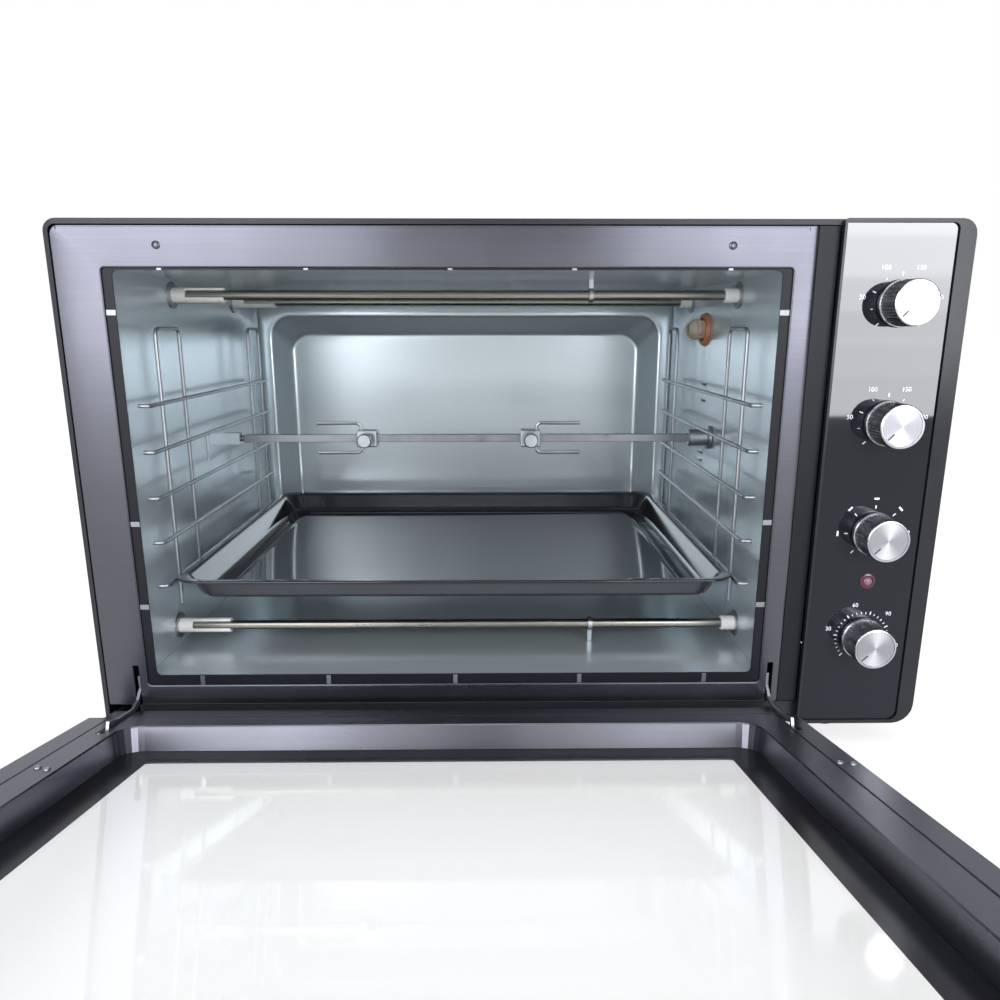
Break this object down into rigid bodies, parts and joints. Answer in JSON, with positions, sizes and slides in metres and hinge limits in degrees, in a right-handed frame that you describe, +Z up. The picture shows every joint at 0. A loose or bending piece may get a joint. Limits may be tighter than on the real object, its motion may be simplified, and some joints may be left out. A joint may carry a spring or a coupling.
{
  "type": "rotisserie oven",
  "caption": "Large countertop rotisserie oven with a drop-down glass door, spit with forks, enamelled tray and a column of control knobs.",
  "frame": {"origin": "on the surface the feet stand on, under the middle of the whole outline with the door open", "axes": "+X to the right as seen from the front, +Y from the door towards the back, +Z up"},
  "size_m": [0.72, 0.9132, 0.4475],
  "materials": {
    "black_enamel": "satin black enamel",
    "galvanised": "plain zinc-coated steel",
    "rubber": "matt",
    "gunmetal": "brushed dark steel",
    "gloss_black": "high gloss",
    "red_lens": "clear red",
    "black_plastic": "matt",
    "cavity_grey": "satin blue-grey coating",
    "heater_steel": "heat-dulled steel",
    "ceramic": "white glazed ceramic",
    "bright_wire": "bright chromed steel",
    "bulb_glass": "clear warm glass",
    "door_glass": "clear toughened glass",
    "spun_steel": "spun and brushed",
    "tray_enamel": "glossy black enamel"
  },
  "bodies": {
    "cabinet": {"outer_shell": "black_enamel", "base_plate": "galvanised", "foot_front_left": "rubber", "foot_front_right": "rubber", "foot_rear_left": "rubber", "foot_rear_right": "rubber", "front_frame": "gunmetal", "cavity_collar": "black_enamel", "trim_strip": "black_enamel", "control_bezel": "gloss_black", "control_panel": "gloss_black", "indicator_lens": "red_lens", "upper_thermostat": "black_plastic", "lower_thermostat": "black_plastic", "function_switch": "black_plastic", "timer": "black_plastic", "cavity_left_wall": "cavity_grey", "cavity_right_wall": "cavity_grey", "cavity_floor": "cavity_grey", "cavity_ceiling": "cavity_grey", "cavity_back": "cavity_grey", "heater_upper_front": "heater_steel", "heater_upper_rear": "heater_steel", "heater_lower_front": "heater_steel", "heater_lower_rear": "heater_steel", "heater_cap_upper": "ceramic", "heater_cap_lower": "ceramic", "heater_hanger_upper": "bright_wire", "heater_hanger_lower": "bright_wire", "side_rack_left": "bright_wire", "side_rack_right": "bright_wire", "lamp_holder": "ceramic", "lamp_bulb": "bulb_glass", "spit_bracket": "bright_wire", "spit_motor": "galvanised", "hinge_bracket_left": "galvanised", "hinge_bracket_right": "galvanised", "rear_cover": "black_enamel", "cable_grommet": "rubber"},
    "door": {"door_inner_panel": "gunmetal", "door_outer_frame": "black_enamel", "door_glass": "door_glass", "door_hinge_bar": "galvanised", "handle_bar": "spun_steel", "handle_post_left": "spun_steel", "handle_post_right": "spun_steel"},
    "hinge_link_left": {"hinge_link_left": "bright_wire"},
    "hinge_link_right": {"hinge_link_right": "bright_wire"},
    "spit": {"spit_rod": "bright_wire", "drive_socket": "bright_wire"},
    "fork_left": {"fork_left": "bright_wire"},
    "fork_right": {"fork_right": "bright_wire"},
    "thumb_screw_left": {"thumb_screw_left": "bright_wire"},
    "thumb_screw_right": {"thumb_screw_right": "bright_wire"},
    "baking_tray": {"baking_tray": "tray_enamel"},
    "upper_thermostat_knob": {"upper_thermostat_knob": "spun_steel"},
    "lower_thermostat_knob": {"lower_thermostat_knob": "spun_steel"},
    "function_switch_knob": {"function_switch_knob": "spun_steel"},
    "timer_knob": {"timer_knob": "spun_steel"}
  },
  "joints": [
    {"name": "door_hinge", "type": "hinge", "parent": "cabinet", "child": "door", "pos_m": [-0.057, -0.04395, 0.024], "axis": [-1, 0, 0], "range_deg": [0, 78.2]},
    {"name": "hinge_link_left_turn", "type": "hinge", "parent": "door", "child": "hinge_link_left", "pos_m": [-0.328, -0.08086, 0.04295], "axis": [-1, 0, 0], "range_deg": [-78.2, 0]},
    {"name": "hinge_link_right_turn", "type": "hinge", "parent": "door", "child": "hinge_link_right", "pos_m": [0.231, -0.08086, 0.04295], "axis": [-1, 0, 0], "range_deg": [-78.2, 0]},
    {"name": "tray_slide", "type": "slide", "parent": "cabinet", "child": "baking_tray", "axis": [0, 1, 0], "range_m": [-0.25, 0]},
    {"name": "spit_turn", "type": "hinge", "parent": "cabinet", "child": "spit", "pos_m": [-0.041, 0.16935, 0.2497], "axis": [1, 0, 0], "continuous": true},
    {"name": "fork_left_slide", "type": "slide", "parent": "spit", "child": "fork_left", "axis": [1, 0, 0], "range_m": [-0.075, 0.06]},
    {"name": "fork_right_slide", "type": "slide", "parent": "spit", "child": "fork_right", "axis": [1, 0, 0], "range_m": [-0.06, 0.075]},
    {"name": "thumb_screw_left_turn", "type": "hinge", "parent": "fork_left", "child": "thumb_screw_left", "pos_m": [-0.1495, 0.16935, 0.2497], "axis": [0, -1, 0], "range_deg": [0, 360]},
    {"name": "thumb_screw_right_turn", "type": "hinge", "parent": "fork_right", "child": "thumb_screw_right", "pos_m": [0.0265, 0.16935, 0.2497], "axis": [0, -1, 0], "range_deg": [0, 360]},
    {"name": "upper_thermostat_knob_turn", "type": "hinge", "parent": "cabinet", "child": "upper_thermostat_knob", "pos_m": [0.307, -0.02965, 0.384], "axis": [0, 1, 0], "range_deg": [0, 270]},
    {"name": "lower_thermostat_knob_turn", "type": "hinge", "parent": "cabinet", "child": "lower_thermostat_knob", "pos_m": [0.307, -0.02965, 0.2895], "axis": [0, 1, 0], "range_deg": [0, 270]},
    {"name": "function_switch_knob_turn", "type": "hinge", "parent": "cabinet", "child": "function_switch_knob", "pos_m": [0.307, -0.02965, 0.196], "axis": [0, 1, 0], "range_deg": [0, 225]},
    {"name": "timer_knob_turn", "type": "hinge", "parent": "cabinet", "child": "timer_knob", "pos_m": [0.307, -0.02965, 0.102], "axis": [0, 1, 0], "range_deg": [0, 300]}
  ],
  "couplings": [
    {"joint": "hinge_link_left_turn", "follows": "door_hinge", "ratio": -1},
    {"joint": "hinge_link_right_turn", "follows": "door_hinge", "ratio": -1}
  ]
}
